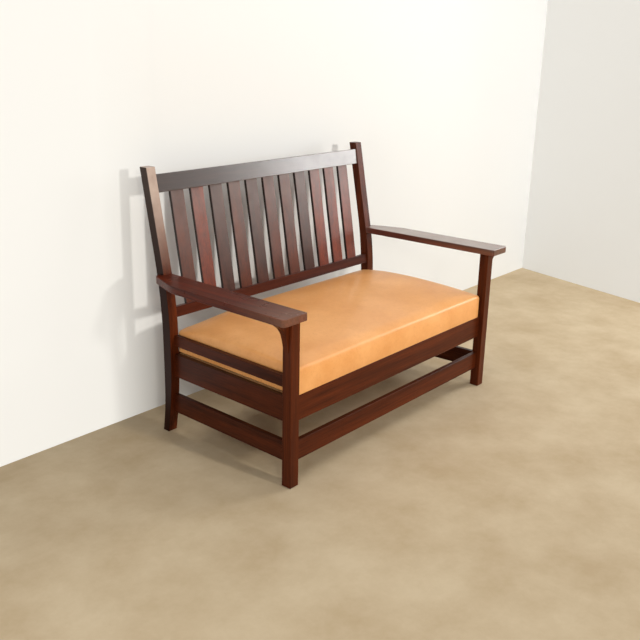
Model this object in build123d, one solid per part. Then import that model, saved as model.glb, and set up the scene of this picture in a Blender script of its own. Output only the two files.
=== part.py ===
from build123d import *
import math
import os

# Mission settle: four posts, mortised rails, a raked slatted back, flat arms on corbels
# and a leather cushion on a drop-in deck. Millimetres, front at -Y, +Z up, origin on the
# floor under the middle. Depths are counted back from the front posts' front faces.

# Frame plan and heights
FRONT_WIDTH = 1274.0        # over the outer faces of the front posts
BACK_WIDTH = 1242.0         # over the outer faces of the back posts
POST_SPACING = 617.0        # front faces of the front posts to those of the back posts
ARM_BOTTOM = 596.0
ARM_THICKNESS = 26.0
BACK_HEIGHT = 1002.0
SEAT_HEIGHT = 320.0         # top edge of the seat rails

# Posts
POST_WIDTH = 40.0
BACK_POST_DEPTH = 41.0
POST_ARRIS = 1.0
FOOT_CHAMFER = 3.0
POST_TENON_WIDTH = 20.0     # square stub under the arm
POST_TENON_LENGTH = 14.0

# Side profile of a sawn back post
KICK_TOP_FRONT = 300.0      # the foot's curves run below these heights
KICK_TOP_REAR = 200.0
KICK_RADIUS_FRONT = 1620.0
KICK_RADIUS_REAR = 1120.0
BEND_START_FRONT = 385.0    # the back's curves start at these heights
BEND_START_REAR = 358.0
BEND_RADIUS_FRONT = 1200.0
BEND_RADIUS_REAR = 1700.0
BACK_RAKE = 11.0            # degrees

# Rails and stretchers
RAIL_THICKNESS = 19.0
RAIL_SETBACK = 20.0         # from the posts' outer faces
RAIL_ARRIS = 1.2
SEAT_RAIL_DEPTH = 92.0
STRETCHER_BOTTOM = 82.0
STRETCHER_DEPTH = 73.0
UPPER_RAIL_GAP = 31.0       # above the seat rails
UPPER_RAIL_DEPTH = 41.0
TENON_THICKNESS = 9.0
TENON_LENGTH = 22.0
TENON_INSET = 8.0           # from a rail's edge, and between two tenons at one corner
JOINT_CLEARANCE = 0.15
MORTISE_END_GAP = 1.0

# Back panel: crest rail, lower rail and slats in one leaning plane
PANEL_SETBACK = 5.5         # behind the posts' front faces
BACK_RAIL_THICKNESS = 27.0
BACK_RAIL_ARRIS = 2.0
LOWER_RAIL_BOTTOM = 457.0
LOWER_RAIL_DEPTH = 39.0
CREST_DROP = 92.0           # from the posts' tops to the crest's lower edge
CREST_DEPTH = 66.0
SLAT_COUNT = 11
SLAT_WIDTH = 62.0
SLAT_THICKNESS = 12.5
SLAT_SETBACK = 10.0         # behind the rails' front faces
SLAT_HOUSING = 13.0         # length of each slat end inside a rail
SLAT_END_GAP = 65.0         # from a post to the first slat
SLAT_ARRIS = 1.0

# Arms and corbels
ARM_WIDTH = 114.0
ARM_FRONT_OVERHANG = 27.0
ARM_INNER_OVERHANG = 6.0    # inside the front post
ARM_REAR_SETBACK = 15.0     # ahead of the back post's rear face
ARM_OUTER_RADIUS = 13.0     # front corners in plan
ARM_INNER_RADIUS = 7.0
ARM_TAPER_LENGTH = 150.0    # over which the outer edge runs in towards the back post
ARM_TAPER_WIDTH = 50.0
ARM_TAPER_RADIUS = 200.0    # where the taper starts
ARM_REAR_RADIUS = 30.0      # rear outer corner in plan
ARM_EDGE_RADIUS = 2.5       # upper edges
ARM_LOWER_CHAMFER = 1.2     # lower edges
ARM_TENON_WIDTH = 22.0
ARM_TENON_THICKNESS = 10.0
ARM_TENON_LENGTH = 14.0
CORBEL_HEIGHT = 108.0
CORBEL_PROJECTION = 52.0
CORBEL_THICKNESS = 23.0
CORBEL_SETBACK = 13.0       # behind the front post's front face
CORBEL_ARRIS = 0.8
# Each point down the corbel's edge: share of its projection, and share of its height
CORBEL_LIP_SHARES = (0.96, 0.08)
CORBEL_SWEEP_SHARES = (0.53, 0.26)
CORBEL_KNEE_SHARES = (0.28, 0.46)
CORBEL_SHIN_SHARES = (0.13, 0.73)
CORBEL_TIP_SHARES = (0.04, 1.0)

# Drop-in deck, its straps, cleats, corner blocks and screws
DECK_THICKNESS = 22.0
DECK_MEMBER_WIDTH = 60.0
DECK_CLEARANCE = 3.0
DECK_TENON_THICKNESS = 8.0
DECK_TENON_LENGTH = 24.0
STRAP_COUNT = 6             # on each side of the brace
STRAP_WIDTH = 50.0
STRAP_THICKNESS = 2.0
STRAP_ANCHOR = 42.0         # length of each strap end on the deck's members
CLEAT_WIDTH = 22.0
CLEAT_HEIGHT = 25.0
CLEAT_END_GAP = 8.0
CORNER_BLOCK_LEG = 78.0
CORNER_BLOCK_THICKNESS = 26.0
CORNER_BLOCK_NOSE = 9.0     # trimmed off its sharp corners
CORNER_BLOCK_TRIM = 13.0    # trimmed off beside the post
SCREW_HEAD_RADIUS = 4.0
SCREW_HEAD_HEIGHT = 2.4
SCREW_RADIUS = 2.0
SCREW_TIP = 4.0
SCREW_TIP_RADIUS = 0.6
SCREW_LENGTH = 33.0
SCREW_FACETS = 12           # flats that stand for its turned round
SCREW_GRIP = 22.0           # from under a block screw's pocket to the rail
SCREW_CLEARANCE = 0.1
POCKET_RADIUS = 4.6
LONG_CLEAT_SCREWS = 5
SHORT_CLEAT_SCREWS = 3
CLEAT_SCREW_SHARE = 0.9     # of a cleat's length, over its outermost screws
BLOCK_SCREW_SHARE = 0.62    # of a corner block's leg, out from its corner

# Seat cushion
CUSHION_SIDE_GAP = 2.5      # to the front posts' inner faces
CUSHION_REAR_SIDE_GAP = 2.0  # to the back posts' inner faces
CUSHION_SETBACK = 15.0      # behind the front posts' front faces
CUSHION_REACH = 18.0        # in between the back posts, behind their front faces
CUSHION_EDGE_HEIGHT = 97.0
CUSHION_REAR_RISE = 12.0    # by which the top edge is higher at the rear
CUSHION_CROWN = 27.0        # rise of the middle above the edge
CUSHION_CORNER_RADIUS = 20.0
CUSHION_DRAW_IN = 3.0       # each side bows inwards between its corners
CUSHION_EDGE_INSET = 13.0
CUSHION_REST_GAP = 0.3
# Each ring up the side: share of the edge inset, and share of the edge height
CUSHION_SIDE_SHARES = [
    (0.60, 0.0),
    (0.24, 0.03),
    (0.0, 0.09),
    (0.0, 0.45),
    (0.03, 0.84),
    (0.16, 0.93),
    (0.46, 0.98),
    (1.0, 1.0),
]
# Each ring of the crown: share of the way to the middle, and share of the crown's rise
CUSHION_CROWN_SHARES = [
    (0.03, 0.18),
    (0.09, 0.42),
    (0.20, 0.66),
    (0.38, 0.86),
    (0.62, 0.97),
    (0.86, 1.0),
]

# Values that follow from the sizes above
OVERRUN = 5.0               # by which cuts run past what they cut
RAKE = math.radians(BACK_RAKE)
RAIL_SPAN = POST_SPACING - POST_WIDTH
SPLAY = math.atan2((FRONT_WIDTH - BACK_WIDTH) / 2, RAIL_SPAN)
ARM_TOP = ARM_BOTTOM + ARM_THICKNESS
CREST_BOTTOM = BACK_HEIGHT - CREST_DROP
UPPER_RAIL_BOTTOM = SEAT_HEIGHT + UPPER_RAIL_GAP
FRONT_INNER = FRONT_WIDTH / 2 - POST_WIDTH
BACK_INNER = BACK_WIDTH / 2 - POST_WIDTH
RAIL_INNER = RAIL_SETBACK + RAIL_THICKNESS
RAIL_REVEAL = POST_WIDTH - RAIL_INNER
REAR_RAIL_FRONT = POST_SPACING + RAIL_REVEAL
TENON_MARGIN = (RAIL_THICKNESS - TENON_THICKNESS) / 2
DECK_TOP = SEAT_HEIGHT - STRAP_THICKNESS
DECK_BOTTOM = DECK_TOP - DECK_THICKNESS
CLEAT_BOTTOM = DECK_BOTTOM - CLEAT_HEIGHT
SCREW_LEVEL = CLEAT_BOTTOM + CLEAT_HEIGHT / 2
CORNER_BLOCK_BOTTOM = CLEAT_BOTTOM - CORNER_BLOCK_THICKNESS


def post_face(height, base, start, radius):
    """Depth of a sawn face above the kick: straight, then an arc, then raked."""
    run = radius * math.sin(RAKE)
    if height <= start:
        return base
    if height <= start + run:
        return base + radius - math.sqrt(radius**2 - (height - start) ** 2)
    return base + radius * (1 - math.cos(RAKE)) + (height - start - run) * math.tan(RAKE)


def post_front(height):
    """Depth of the back posts' front faces at a height above the kick."""
    return post_face(height, POST_SPACING, BEND_START_FRONT, BEND_RADIUS_FRONT)


def post_rear(height):
    """Depth of the back posts' rear faces at a height above the kick."""
    return post_face(height, POST_SPACING + BACK_POST_DEPTH, BEND_START_REAR, BEND_RADIUS_REAR)


# The whole settle is centred in depth, from the arms' fronts to the posts' tops
FRONT_FACE = (ARM_FRONT_OVERHANG - post_rear(BACK_HEIGHT)) / 2

# The back panel's plane touches both rails' lower front edges
CREST_RISE = CREST_BOTTOM - LOWER_RAIL_BOTTOM
PANEL_RAKE = math.atan2(post_front(CREST_BOTTOM) - post_front(LOWER_RAIL_BOTTOM), CREST_RISE)
CREST_CLIMB = CREST_RISE / math.cos(PANEL_RAKE)
PANEL = Plane(
    origin=(0, FRONT_FACE + post_front(LOWER_RAIL_BOTTOM) + PANEL_SETBACK, LOWER_RAIL_BOTTOM),
    x_dir=(1, 0, 0),
    z_dir=(0, -math.cos(PANEL_RAKE), math.sin(PANEL_RAKE)),
)
SLAT_PITCH = (2 * (BACK_INNER - SLAT_END_GAP) - SLAT_WIDTH) / (SLAT_COUNT - 1)

# Local axes of the right-hand side rails: +Y runs back along their outer faces
SIDE = Pos(FRONT_WIDTH / 2 - RAIL_SETBACK, FRONT_FACE + POST_WIDTH, 0) * Rot(0, 0, math.degrees(SPLAY))


def block(x0, x1, y0, y1, z0, z1):
    """Box between two corners."""
    size = Box(x1 - x0, y1 - y0, z1 - z0, align=(Align.MIN, Align.MIN, Align.MIN))
    return Pos(x0, FRONT_FACE + y0, z0) * size


def side_block(across0, across1, along0, along1, z0, z1):
    """Box measured inwards from the side rails' outer face and back from the front post."""
    size = Box(across1 - across0, along1 - along0, z1 - z0, align=(Align.MIN, Align.MIN, Align.MIN))
    return Pos(-across1, along0, z0) * size


def prism(points, z0, z1):
    """Upright prism over a plan outline."""
    outline = Polyline(*[(x, FRONT_FACE + y) for x, y in points], close=True)
    return Pos(0, 0, z0) * extrude(make_face(outline), z1 - z0)


def eased(solid, axis, size):
    """Chamfers the edges along one axis."""
    return chamfer(solid.edges().filter_by(axis), size)


def mirrored(solid):
    """The same shape on the left side."""
    return solid.mirror(Plane.YZ)


def face_curves(base, kick_top, kick_radius, bend_start, bend_radius):
    """Kick, straight run, bend and raked run of one sawn face, from the floor up."""
    kick = math.asin(kick_top / kick_radius)
    foot = (base + kick_radius * (1 - math.cos(kick)), 0)
    ankle = (base + kick_radius * (1 - math.cos(kick / 2)), kick_top - kick_radius * math.sin(kick / 2))
    bow = (base + bend_radius * (1 - math.cos(RAKE / 2)), bend_start + bend_radius * math.sin(RAKE / 2))
    bend_end = bend_start + bend_radius * math.sin(RAKE)
    shoulder = (base + bend_radius * (1 - math.cos(RAKE)), bend_end)
    top = (shoulder[0] + (BACK_HEIGHT - bend_end) * math.tan(RAKE), BACK_HEIGHT)
    return [
        ThreePointArc(foot, ankle, (base, kick_top)),
        Line((base, kick_top), (base, bend_start)),
        ThreePointArc((base, bend_start), bow, shoulder),
        Line(shoulder, top),
    ]


def sawn_blank(growth=0.0, widening=0.0):
    """The right-hand back post before its joints, or a larger cutter."""
    front = face_curves(
        POST_SPACING - growth, KICK_TOP_FRONT, KICK_RADIUS_FRONT, BEND_START_FRONT, BEND_RADIUS_FRONT
    )
    rear = face_curves(
        POST_SPACING + BACK_POST_DEPTH + growth,
        KICK_TOP_REAR,
        KICK_RADIUS_REAR,
        BEND_START_REAR,
        BEND_RADIUS_REAR,
    )
    ends = [Line(front[0] @ 0, rear[0] @ 0), Line(front[-1] @ 1, rear[-1] @ 1)]
    outline = make_face(Wire(Edge(e.wrapped) for e in [*front, *rear, *ends]))
    margin = growth + widening
    side = Plane(origin=(BACK_INNER - margin, FRONT_FACE, 0), x_dir=(0, 1, 0), z_dir=(1, 0, 0))
    return side * extrude(outline, POST_WIDTH + 2 * margin)


def cross_tenons(reach, front, bottom, depth):
    """Low tenons of a rail that runs across the settle, and the cutter of their mortises."""
    low = bottom + TENON_INSET
    high = bottom + (depth - TENON_INSET) / 2
    near = front + TENON_MARGIN
    far = near + TENON_THICKNESS
    slack = JOINT_CLEARANCE
    room = reach + MORTISE_END_GAP
    tenon = block(-reach, reach, near, far, low, high)
    mortise = block(-room, room, near - slack, far + slack, low - slack, high + slack)
    return tenon, mortise


def cross_rail(half_length, front, bottom, depth):
    """A rail that runs across the settle, and the cutter of its mortises."""
    blank = block(-half_length, half_length, front, front + RAIL_THICKNESS, bottom, bottom + depth)
    tenon, mortise = cross_tenons(half_length + TENON_LENGTH, front, bottom, depth)
    return eased(blank, Axis.X, RAIL_ARRIS) + tenon, mortise


def side_rail(bottom, depth, share_corner):
    """A right-hand side rail scribed to both posts, and the cutter of its mortises."""
    end = (RAIL_SPAN + BACK_POST_DEPTH / 2) / math.cos(SPLAY)
    blank = side_block(0, RAIL_THICKNESS, -RAIL_THICKNESS, end, bottom, bottom + depth)
    ahead = block(0, FRONT_WIDTH, 0, POST_WIDTH, 0, BACK_HEIGHT)
    body = SIDE * eased(blank, Axis.Y, RAIL_ARRIS) - ahead - sawn_blank(widening=POST_WIDTH)
    low = bottom + (depth + TENON_INSET) / 2 if share_corner else bottom + TENON_INSET
    high = bottom + depth - TENON_INSET
    near = TENON_MARGIN
    far = TENON_MARGIN + TENON_THICKNESS
    reach = RAIL_SPAN + TENON_LENGTH
    slack = JOINT_CLEARANCE
    ahead_end = -TENON_LENGTH - MORTISE_END_GAP
    rear_end = reach + MORTISE_END_GAP
    tenon = side_block(near, far, -TENON_LENGTH, reach, low, high)
    mortise = side_block(near - slack, far + slack, ahead_end, rear_end, low - slack, high + slack)
    return body + SIDE * tenon, SIDE * mortise


def panel_rail(climb, depth):
    """A rail of the back panel, and the cutter of its mortises."""
    align = (Align.CENTER, Align.MIN, Align.MAX)
    blank = Box(2 * BACK_INNER, depth, BACK_RAIL_THICKNESS, align=align)
    blank = fillet(blank.edges().filter_by(Axis.X), BACK_RAIL_ARRIS)
    length = 2 * (BACK_INNER + TENON_LENGTH)
    height = depth - 2 * TENON_INSET
    slack = 2 * JOINT_CLEARANCE
    middle = Pos(0, depth / 2, -BACK_RAIL_THICKNESS / 2)
    tenon = Box(length, height, TENON_THICKNESS)
    mortise = Box(length + 2 * MORTISE_END_GAP, height + slack, TENON_THICKNESS + slack)
    place = PANEL * Pos(0, climb, 0)
    return place * (blank + middle * tenon), place * middle * mortise


def slat(index):
    """One back slat, and the cutter of its housings."""
    centre = (index - (SLAT_COUNT - 1) / 2) * SLAT_PITCH
    length = CREST_CLIMB - LOWER_RAIL_DEPTH + 2 * SLAT_HOUSING
    base = LOWER_RAIL_DEPTH - SLAT_HOUSING
    slack = JOINT_CLEARANCE
    align = (Align.CENTER, Align.MIN, Align.MAX)
    blank = Box(SLAT_WIDTH, length, SLAT_THICKNESS, align=align)
    cutter = Box(SLAT_WIDTH + 2 * slack, length + 2 * slack, SLAT_THICKNESS + 2 * slack, align=align)
    place = PANEL * Pos(centre, base, -SLAT_SETBACK)
    return place * eased(blank, Axis.Y, SLAT_ARRIS), place * Pos(0, -slack, slack) * cutter


def post_tenon(growth=0.0):
    """Square stub on the front post's top, or the cutter of its mortise in the arm."""
    inset = (POST_WIDTH - POST_TENON_WIDTH) / 2 - growth
    x0 = FRONT_INNER + inset
    x1 = FRONT_WIDTH / 2 - inset
    top = ARM_BOTTOM + POST_TENON_LENGTH + growth
    return block(x0, x1, inset, POST_WIDTH - inset, ARM_BOTTOM - OVERRUN, top)


def arm_tenon(growth=0.0):
    """Stub on the arm's notch, or the cutter of its mortise in the back post."""
    half_width = ARM_TENON_WIDTH / 2 + growth
    half_height = ARM_TENON_THICKNESS / 2 + growth
    x = BACK_INNER + POST_WIDTH / 2
    z = ARM_BOTTOM + ARM_THICKNESS / 2
    end = post_front(z) + ARM_TENON_LENGTH + growth
    return block(x - half_width, x + half_width, post_front(z) - OVERRUN, end, z - half_height, z + half_height)


def front_post(mortises):
    """The right-hand front post."""
    post = block(FRONT_INNER, FRONT_WIDTH / 2, 0, POST_WIDTH, 0, ARM_BOTTOM)
    post = chamfer(post.faces().sort_by(Axis.Z)[0].edges(), FOOT_CHAMFER)
    post = eased(post, Axis.Z, POST_ARRIS) + post_tenon()
    return post - mortises


def back_post(mortises):
    """The right-hand back post."""
    post = sawn_blank()
    sides = post.faces().filter_by(Axis.X).edges()
    ends = post.edges().filter_by(Axis.X).sort_by(Axis.Z)
    post = chamfer([*sides, *ends[:2], *ends[-2:]], POST_ARRIS)
    return post - mortises - arm_tenon(JOINT_CLEARANCE)


def arm_inner(depth):
    """Offset of the right arm's inner edge from the middle at a depth."""
    front = FRONT_INNER - ARM_INNER_OVERHANG
    length = ARM_FRONT_OVERHANG + post_front(ARM_BOTTOM)
    return front - (front - BACK_INNER) * (depth + ARM_FRONT_OVERHANG) / length


def rounded_corner(face, x, depth, radius):
    """Rounds the corner of a plan outline that lies nearest a point."""
    corner = face.vertices().sort_by_distance((x, FRONT_FACE + depth, 0))[0]
    return fillet(corner, radius)


def arm():
    """The right-hand arm, notched round the back post."""
    front = -ARM_FRONT_OVERHANG
    rear = post_rear(ARM_TOP) - ARM_REAR_SETBACK
    front_x = arm_inner(front)
    rear_x = arm_inner(rear)
    bend = rear - ARM_TAPER_LENGTH
    bend_x = arm_inner(bend) + ARM_WIDTH
    tip_x = rear_x + ARM_WIDTH - ARM_TAPER_WIDTH
    outer = [(front_x + ARM_WIDTH, front), (bend_x, bend), (tip_x, rear)]
    points = [(front_x, front), *outer, (rear_x, rear)]
    plan = make_face(Polyline(*[(x, FRONT_FACE + y) for x, y in points], close=True))
    plan = rounded_corner(plan, front_x, front, ARM_INNER_RADIUS)
    plan = rounded_corner(plan, front_x + ARM_WIDTH, front, ARM_OUTER_RADIUS)
    plan = rounded_corner(plan, bend_x, bend, ARM_TAPER_RADIUS)
    plan = rounded_corner(plan, tip_x, rear, ARM_REAR_RADIUS)
    board = Pos(0, 0, ARM_BOTTOM) * extrude(plan, ARM_THICKNESS)
    faces = board.faces().sort_by(Axis.Z)
    board = chamfer(faces[0].edges(), ARM_LOWER_CHAMFER)
    board = fillet(board.faces().sort_by(Axis.Z)[-1].edges(), ARM_EDGE_RADIUS)
    notch_side = BACK_INNER + POST_WIDTH + JOINT_CLEARANCE
    notch_front = post_front(ARM_TOP) + OVERRUN
    notch = block(0, notch_side, notch_front, rear + OVERRUN, ARM_BOTTOM - OVERRUN, ARM_TOP + OVERRUN)
    board = board - notch - sawn_blank(JOINT_CLEARANCE)
    return board + arm_tenon() - post_tenon(JOINT_CLEARANCE)


def corbel():
    """The right-hand corbel, under the arm on the post's outer face."""
    def at(shares):
        return (FRONT_WIDTH / 2 + shares[0] * CORBEL_PROJECTION, ARM_BOTTOM - shares[1] * CORBEL_HEIGHT)

    root = (FRONT_WIDTH / 2, ARM_BOTTOM)
    crown = (FRONT_WIDTH / 2 + CORBEL_PROJECTION, ARM_BOTTOM)
    tip = at(CORBEL_TIP_SHARES)
    foot = (FRONT_WIDTH / 2, tip[1])
    outline = [
        Line(root, crown),
        Line(crown, at(CORBEL_LIP_SHARES)),
        ThreePointArc(at(CORBEL_LIP_SHARES), at(CORBEL_SWEEP_SHARES), at(CORBEL_KNEE_SHARES)),
        ThreePointArc(at(CORBEL_KNEE_SHARES), at(CORBEL_SHIN_SHARES), tip),
        Line(tip, foot),
        Line(foot, root),
    ]
    face = make_face(Wire(Edge(e.wrapped) for e in outline))
    rear = Plane(
        origin=(0, FRONT_FACE + CORBEL_SETBACK + CORBEL_THICKNESS, 0), x_dir=(1, 0, 0), z_dir=(0, -1, 0)
    )
    solid = rear * extrude(face, CORBEL_THICKNESS)
    free = [e for e in solid.faces().filter_by(Axis.Y).edges() if is_free_edge(e)]
    return chamfer(free, CORBEL_ARRIS)


def is_free_edge(edge):
    """Whether an edge of the corbel is clear of the post and the arm."""
    centre = edge.center()
    clear_of_post = centre.X - FRONT_WIDTH / 2 > CORBEL_ARRIS * 2
    return clear_of_post and ARM_BOTTOM - centre.Z > CORBEL_ARRIS * 2


def side_inner(depth):
    """Offset of the side rails' inner faces from the middle at a depth."""
    face = FRONT_WIDTH / 2 - RAIL_SETBACK - RAIL_THICKNESS / math.cos(SPLAY)
    return face - (depth - POST_WIDTH) * math.tan(SPLAY)


def corner_block(face, direction):
    """The right-hand block in the corner between a cross rail's inner face and the side rail."""
    corner = side_inner(face)
    leg = face + direction * CORNER_BLOCK_LEG
    trim = face + direction * CORNER_BLOCK_TRIM
    nose = face + direction * CORNER_BLOCK_NOSE
    points = [
        (corner - CORNER_BLOCK_LEG, face),
        (corner - CORNER_BLOCK_TRIM, face),
        (side_inner(trim), trim),
        (side_inner(leg), leg),
        (side_inner(leg) - CORNER_BLOCK_NOSE, leg),
        (corner - CORNER_BLOCK_LEG, nose),
    ]
    return prism(points, CORNER_BLOCK_BOTTOM, CLEAT_BOTTOM)


def screw_form(growth=0.0):
    """A countersunk wood screw pointing down from the origin, or its cutter."""
    stations = [
        (SCREW_HEAD_RADIUS + growth, 0),
        (SCREW_RADIUS + growth, SCREW_HEAD_HEIGHT),
        (SCREW_RADIUS + growth, SCREW_LENGTH - SCREW_TIP),
        (SCREW_TIP_RADIUS + growth, SCREW_LENGTH + growth),
    ]
    rings = [Pos(0, 0, -depth) * RegularPolygon(radius, SCREW_FACETS) for radius, depth in stations]
    return loft(rings, ruled=True)


def screw_hole():
    """Cutter of a screw and of the pocket above its head."""
    depth = (1 - BLOCK_SCREW_SHARE) * CORNER_BLOCK_LEG - SCREW_GRIP + 2 * POCKET_RADIUS
    return screw_form(SCREW_CLEARANCE) + extrude(RegularPolygon(POCKET_RADIUS, SCREW_FACETS), depth)


def cleat_screw_places():
    """Places of the screws in the front, rear and right-hand cleats."""
    places = []
    for face, turn, half, out in (
        (RAIL_INNER, -90, FRONT_INNER, 1),
        (REAR_RAIL_FRONT, 90, BACK_INNER, -1),
    ):
        for step in range(LONG_CLEAT_SCREWS):
            share = 2 * step / (LONG_CLEAT_SCREWS - 1) - 1
            x = share * CLEAT_SCREW_SHARE * (half - CLEAT_END_GAP)
            places.append(Pos(x, FRONT_FACE + face + out * CLEAT_WIDTH, SCREW_LEVEL) * Rot(turn, 0, 0))
    return places


def side_screw_places():
    """Places of the screws in the right-hand cleat."""
    places = []
    for step in range(SHORT_CLEAT_SCREWS):
        share = 2 * step / (SHORT_CLEAT_SCREWS - 1) - 1
        y = RAIL_SPAN / 2 + share * CLEAT_SCREW_SHARE * (RAIL_SPAN / 2 - CLEAT_WIDTH - CLEAT_END_GAP)
        places.append(SIDE * Pos(-RAIL_THICKNESS - CLEAT_WIDTH, y, SCREW_LEVEL) * Rot(0, -90, 0))
    return places


def block_screw_places():
    """Places of the screws in the two right-hand corner blocks."""
    level = CORNER_BLOCK_BOTTOM + CORNER_BLOCK_THICKNESS / 2
    out = CORNER_BLOCK_LEG * BLOCK_SCREW_SHARE
    places = []
    for face, turn, back in ((RAIL_INNER, -90, 1), (REAR_RAIL_FRONT, 90, -1)):
        x = side_inner(face) - out
        places.append(Pos(x, FRONT_FACE + face + back * SCREW_GRIP, level) * Rot(turn, 0, 0))
        along = face - POST_WIDTH + back * out
        places.append(SIDE * Pos(-RAIL_THICKNESS - SCREW_GRIP, along, level) * Rot(0, -90, 0))
    return places


def long_cleat(face, half_length, direction):
    """A cleat along the inner face of the front or rear seat rail."""
    near, far = sorted((face, face + direction * CLEAT_WIDTH))
    half = half_length - CLEAT_END_GAP
    return block(-half, half, near, far, CLEAT_BOTTOM, DECK_BOTTOM)


def side_cleat():
    """The right-hand cleat."""
    start = CLEAT_WIDTH + CLEAT_END_GAP
    inner = RAIL_THICKNESS + CLEAT_WIDTH
    return SIDE * side_block(RAIL_THICKNESS, inner, start, RAIL_SPAN - start, CLEAT_BOTTOM, DECK_BOTTOM)


def deck_edge(depth):
    """Half width of the deck at a depth."""
    return side_inner(depth) - DECK_CLEARANCE


def deck_parts():
    """Front and rear members, right-hand member, middle brace and straps of the deck."""
    front = RAIL_INNER + DECK_CLEARANCE
    rear = REAR_RAIL_FRONT - DECK_CLEARANCE
    inner_front = front + DECK_MEMBER_WIDTH
    inner_rear = rear - DECK_MEMBER_WIDTH
    tenon_bottom = DECK_BOTTOM + (DECK_THICKNESS - DECK_TENON_THICKNESS) / 2
    tenon_top = tenon_bottom + DECK_TENON_THICKNESS
    slack = JOINT_CLEARANCE

    def bearer(inner, outer, growth):
        start = inner_front - DECK_TENON_LENGTH - growth
        end = inner_rear + DECK_TENON_LENGTH + growth
        points = [
            (inner(start) - growth, start),
            (outer(start) + growth, start),
            (outer(end) + growth, end),
            (inner(end) - growth, end),
        ]
        return prism(points, tenon_bottom - growth, tenon_top + growth)

    def side_bearer(growth):
        return bearer(
            lambda y: deck_edge(y) - DECK_MEMBER_WIDTH + TENON_INSET, lambda y: deck_edge(y) - TENON_INSET, growth
        )

    def brace_bearer(growth):
        half = DECK_MEMBER_WIDTH / 2 - TENON_INSET
        return bearer(lambda y: -half, lambda y: half, growth)

    def cross_member(y0, y1):
        points = [(-deck_edge(y0), y0), (deck_edge(y0), y0), (deck_edge(y1), y1), (-deck_edge(y1), y1)]
        return prism(points, DECK_BOTTOM, DECK_TOP)

    half_brace = DECK_MEMBER_WIDTH / 2
    cutters = [side_bearer(slack), mirrored(side_bearer(slack)), brace_bearer(slack)]
    edge_front = deck_edge(inner_front)
    edge_rear = deck_edge(inner_rear)
    side_points = [
        (edge_front - DECK_MEMBER_WIDTH, inner_front),
        (edge_front, inner_front),
        (edge_rear, inner_rear),
        (edge_rear - DECK_MEMBER_WIDTH, inner_rear),
    ]
    side = prism(side_points, DECK_BOTTOM, DECK_TOP) + side_bearer(0)
    brace = block(-half_brace, half_brace, inner_front, inner_rear, DECK_BOTTOM, DECK_TOP)
    brace = brace + brace_bearer(0)
    gap = (edge_rear - DECK_MEMBER_WIDTH - half_brace - STRAP_COUNT * STRAP_WIDTH) / (STRAP_COUNT + 1)
    straps = []
    for step in range(STRAP_COUNT):
        x = half_brace + gap + step * (STRAP_WIDTH + gap)
        start = inner_front - STRAP_ANCHOR
        end = inner_rear + STRAP_ANCHOR
        strap = block(x, x + STRAP_WIDTH, start, end, DECK_TOP, DECK_TOP + STRAP_THICKNESS)
        straps += [strap, mirrored(strap)]
    return {
        "deck_front_member": cross_member(front, inner_front) - cutters,
        "deck_rear_member": cross_member(inner_rear, rear) - cutters,
        "deck_right_member": side,
        "deck_left_member": mirrored(side),
        "deck_brace": brace,
        "seat_straps": Compound(straps),
    }


def cushion_ring(inset, share, height, rear_rise):
    """Outline of the cushion, level or rising to the rear: drawn-in sides and rounded corners."""
    front = CUSHION_SETBACK + inset
    rear = POST_SPACING + CUSHION_REACH - inset
    front_half = FRONT_INNER - CUSHION_SIDE_GAP - inset
    rear_half = BACK_INNER - CUSHION_REAR_SIDE_GAP - inset
    middle = (front + rear) / 2
    scale = 1 - share
    corners = [
        Vector(x * scale, FRONT_FACE + middle + (y - middle) * scale)
        for x, y in ((-front_half, front), (front_half, front), (rear_half, rear), (-rear_half, rear))
    ]
    radius = (CUSHION_CORNER_RADIUS - inset / 2) * scale
    centre = Vector(0, FRONT_FACE + middle)
    edges = []
    for index, corner in enumerate(corners):
        following = corners[(index + 1) % len(corners)]
        previous = corners[index - 1]
        ahead = (following - corner).normalized()
        behind = (previous - corner).normalized()
        start = corner + behind * radius
        end = corner + ahead * radius
        bulge = corner + (ahead + behind) * radius * (1 - math.sqrt(2) / 2)
        side_end = following - ahead * radius
        side_middle = (end + side_end) / 2
        inward = (centre - side_middle)
        inward = (inward - ahead * inward.dot(ahead)).normalized()
        edges.append(ThreePointArc(start, bulge, end))
        edges.append(ThreePointArc(end, side_middle + inward * CUSHION_DRAW_IN * scale, side_end))
    outline = make_face(Wire(Edge(e.wrapped) for e in edges))
    hinge = FRONT_FACE + CUSHION_SETBACK
    tilt = math.degrees(math.atan2(rear_rise, POST_SPACING + CUSHION_REACH - CUSHION_SETBACK))
    return Pos(0, hinge, height) * Rot(tilt, 0, 0) * Pos(0, -hinge, 0) * outline


def seat_cushion():
    """Leather cushion with a crown and drawn-in sides."""
    base = SEAT_HEIGHT + CUSHION_REST_GAP
    edge = base + CUSHION_EDGE_HEIGHT
    sides = [
        cushion_ring(
            inset * CUSHION_EDGE_INSET,
            0,
            base + rise * CUSHION_EDGE_HEIGHT,
            rise * CUSHION_REAR_RISE,
        )
        for inset, rise in CUSHION_SIDE_SHARES
    ]
    crown = [
        cushion_ring(CUSHION_EDGE_INSET, share, edge + rise * CUSHION_CROWN, CUSHION_REAR_RISE)
        for share, rise in CUSHION_CROWN_SHARES
    ]
    return loft([*sides, *crown], ruled=True)


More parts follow.
